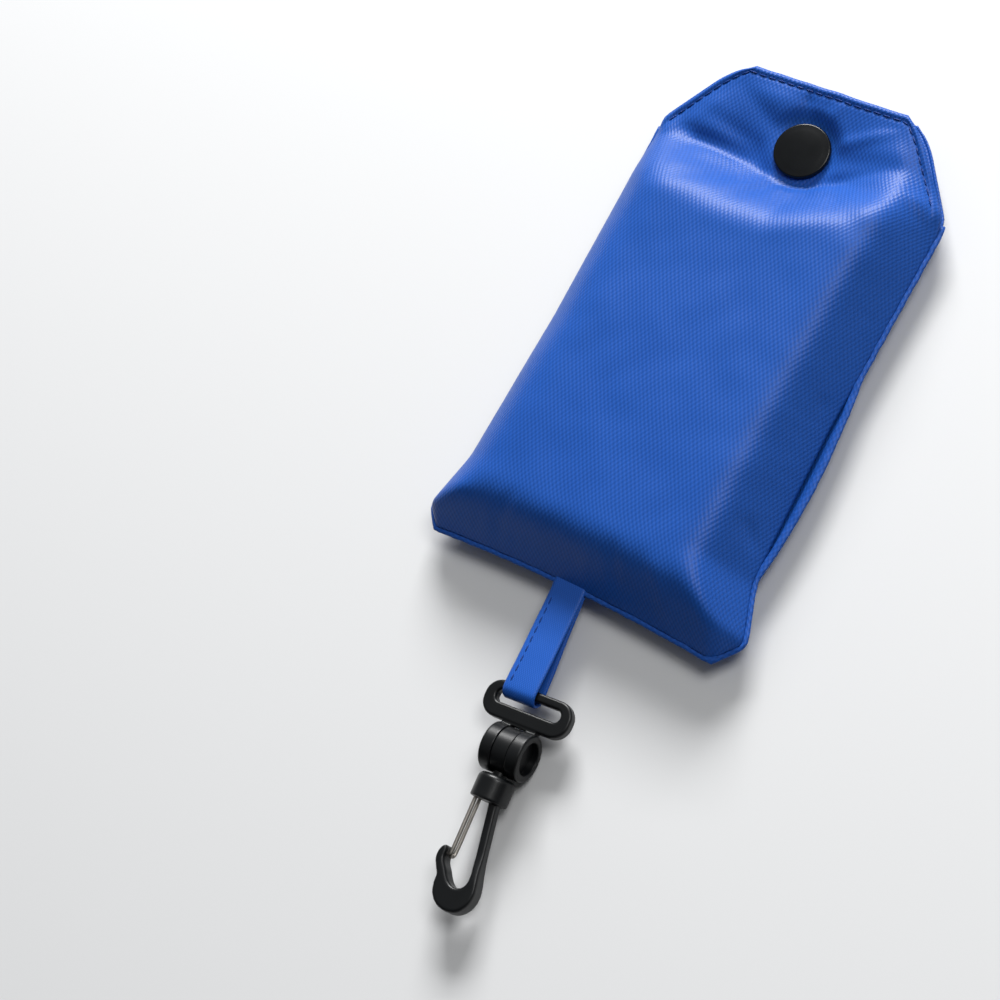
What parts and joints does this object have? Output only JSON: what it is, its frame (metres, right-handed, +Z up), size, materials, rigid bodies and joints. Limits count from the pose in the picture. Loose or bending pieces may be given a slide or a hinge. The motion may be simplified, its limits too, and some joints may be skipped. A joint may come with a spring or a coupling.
{
  "type": "foldable tote bag",
  "caption": "Foldable fabric tote bag packed in its own snap-closed pouch, with a webbing loop and a swivel snap hook to hang it from.",
  "frame": {"origin": "middle of the pouch's flat back, on the surface it rests on", "axes": "+Y along the pouch from the bottom seam to the mouth, +Z up through its thickness from the back to the front, +X across its width; the loop and clip point to -Y"},
  "size_m": [0.086, 0.2296, 0.022],
  "materials": {
    "pouch_fabric": "satin woven polyester",
    "tote_fabric": "satin woven polyester",
    "webbing": "folded woven strip, edge-stitched",
    "snap_plastic": "gloss",
    "clip_plastic": "satin moulded",
    "gate_wire": "drawn wire"
  },
  "bodies": {
    "pouch": {"front_panel": "pouch_fabric", "back_panel": "pouch_fabric", "back_mouth_hem": "pouch_fabric", "left_seam": "pouch_fabric", "right_seam": "pouch_fabric", "bottom_seam": "pouch_fabric", "tote_sewn_fold": "tote_fabric", "snap_stud": "snap_plastic", "snap_back_cap": "snap_plastic", "strap_tail": "webbing"},
    "lip": {"front_lip": "pouch_fabric", "front_mouth_hem": "pouch_fabric", "snap_cap": "snap_plastic", "snap_socket": "snap_plastic"},
    "tote": {"tote_stack": "tote_fabric", "tote_handle_left": "tote_fabric", "tote_handle_right": "tote_fabric"},
    "strap": {"strap_loop": "webbing"},
    "ring": {"clip_ring": "clip_plastic"},
    "stem": {"swivel_stem": "clip_plastic"},
    "hook": {"hook_body": "clip_plastic"},
    "gate": {"wire_gate": "gate_wire"}
  },
  "joints": [
    {"name": "lip_open", "type": "hinge", "parent": "pouch", "child": "lip", "pos_m": [0, 0.03, 0.022], "axis": [1, 0, 0], "range_deg": [0, 105]},
    {"name": "tote_pull", "type": "slide", "parent": "pouch", "child": "tote", "axis": [0, 1, 0], "range_m": [0, 0.036]},
    {"name": "strap_swing", "type": "hinge", "parent": "pouch", "child": "strap", "pos_m": [0.001, -0.0741, 0.0067], "axis": [0.9954, 0.0958, 0], "range_deg": [-65, 65]},
    {"name": "ring_tilt", "type": "hinge", "parent": "strap", "child": "ring", "pos_m": [0.00673, -0.10027, 0.0067], "axis": [0.9954, 0.0958, 0], "range_deg": [-70, 70]},
    {"name": "head_pivot", "type": "hinge", "parent": "ring", "child": "stem", "pos_m": [0.00817, -0.1152, 0.0067], "axis": [0.9954, 0.0958, 0], "range_deg": [-60, 60]},
    {"name": "hook_spin", "type": "hinge", "parent": "stem", "child": "hook", "pos_m": [0.00817, -0.1152, 0.0067], "axis": [-0.0958, 0.9954, 0], "continuous": true},
    {"name": "gate_open", "type": "hinge", "parent": "hook", "child": "gate", "pos_m": [0.00645, -0.12762, 0.0067], "axis": [0, 0, 1], "range_deg": [0, 20], "stiffness_Nm_per_rad": 0.02, "springref_deg": -17.19}
  ],
  "couplings": [
    {"joint": "lip_open", "follows": "tote_pull", "rad_per_m": 50.9}
  ]
}
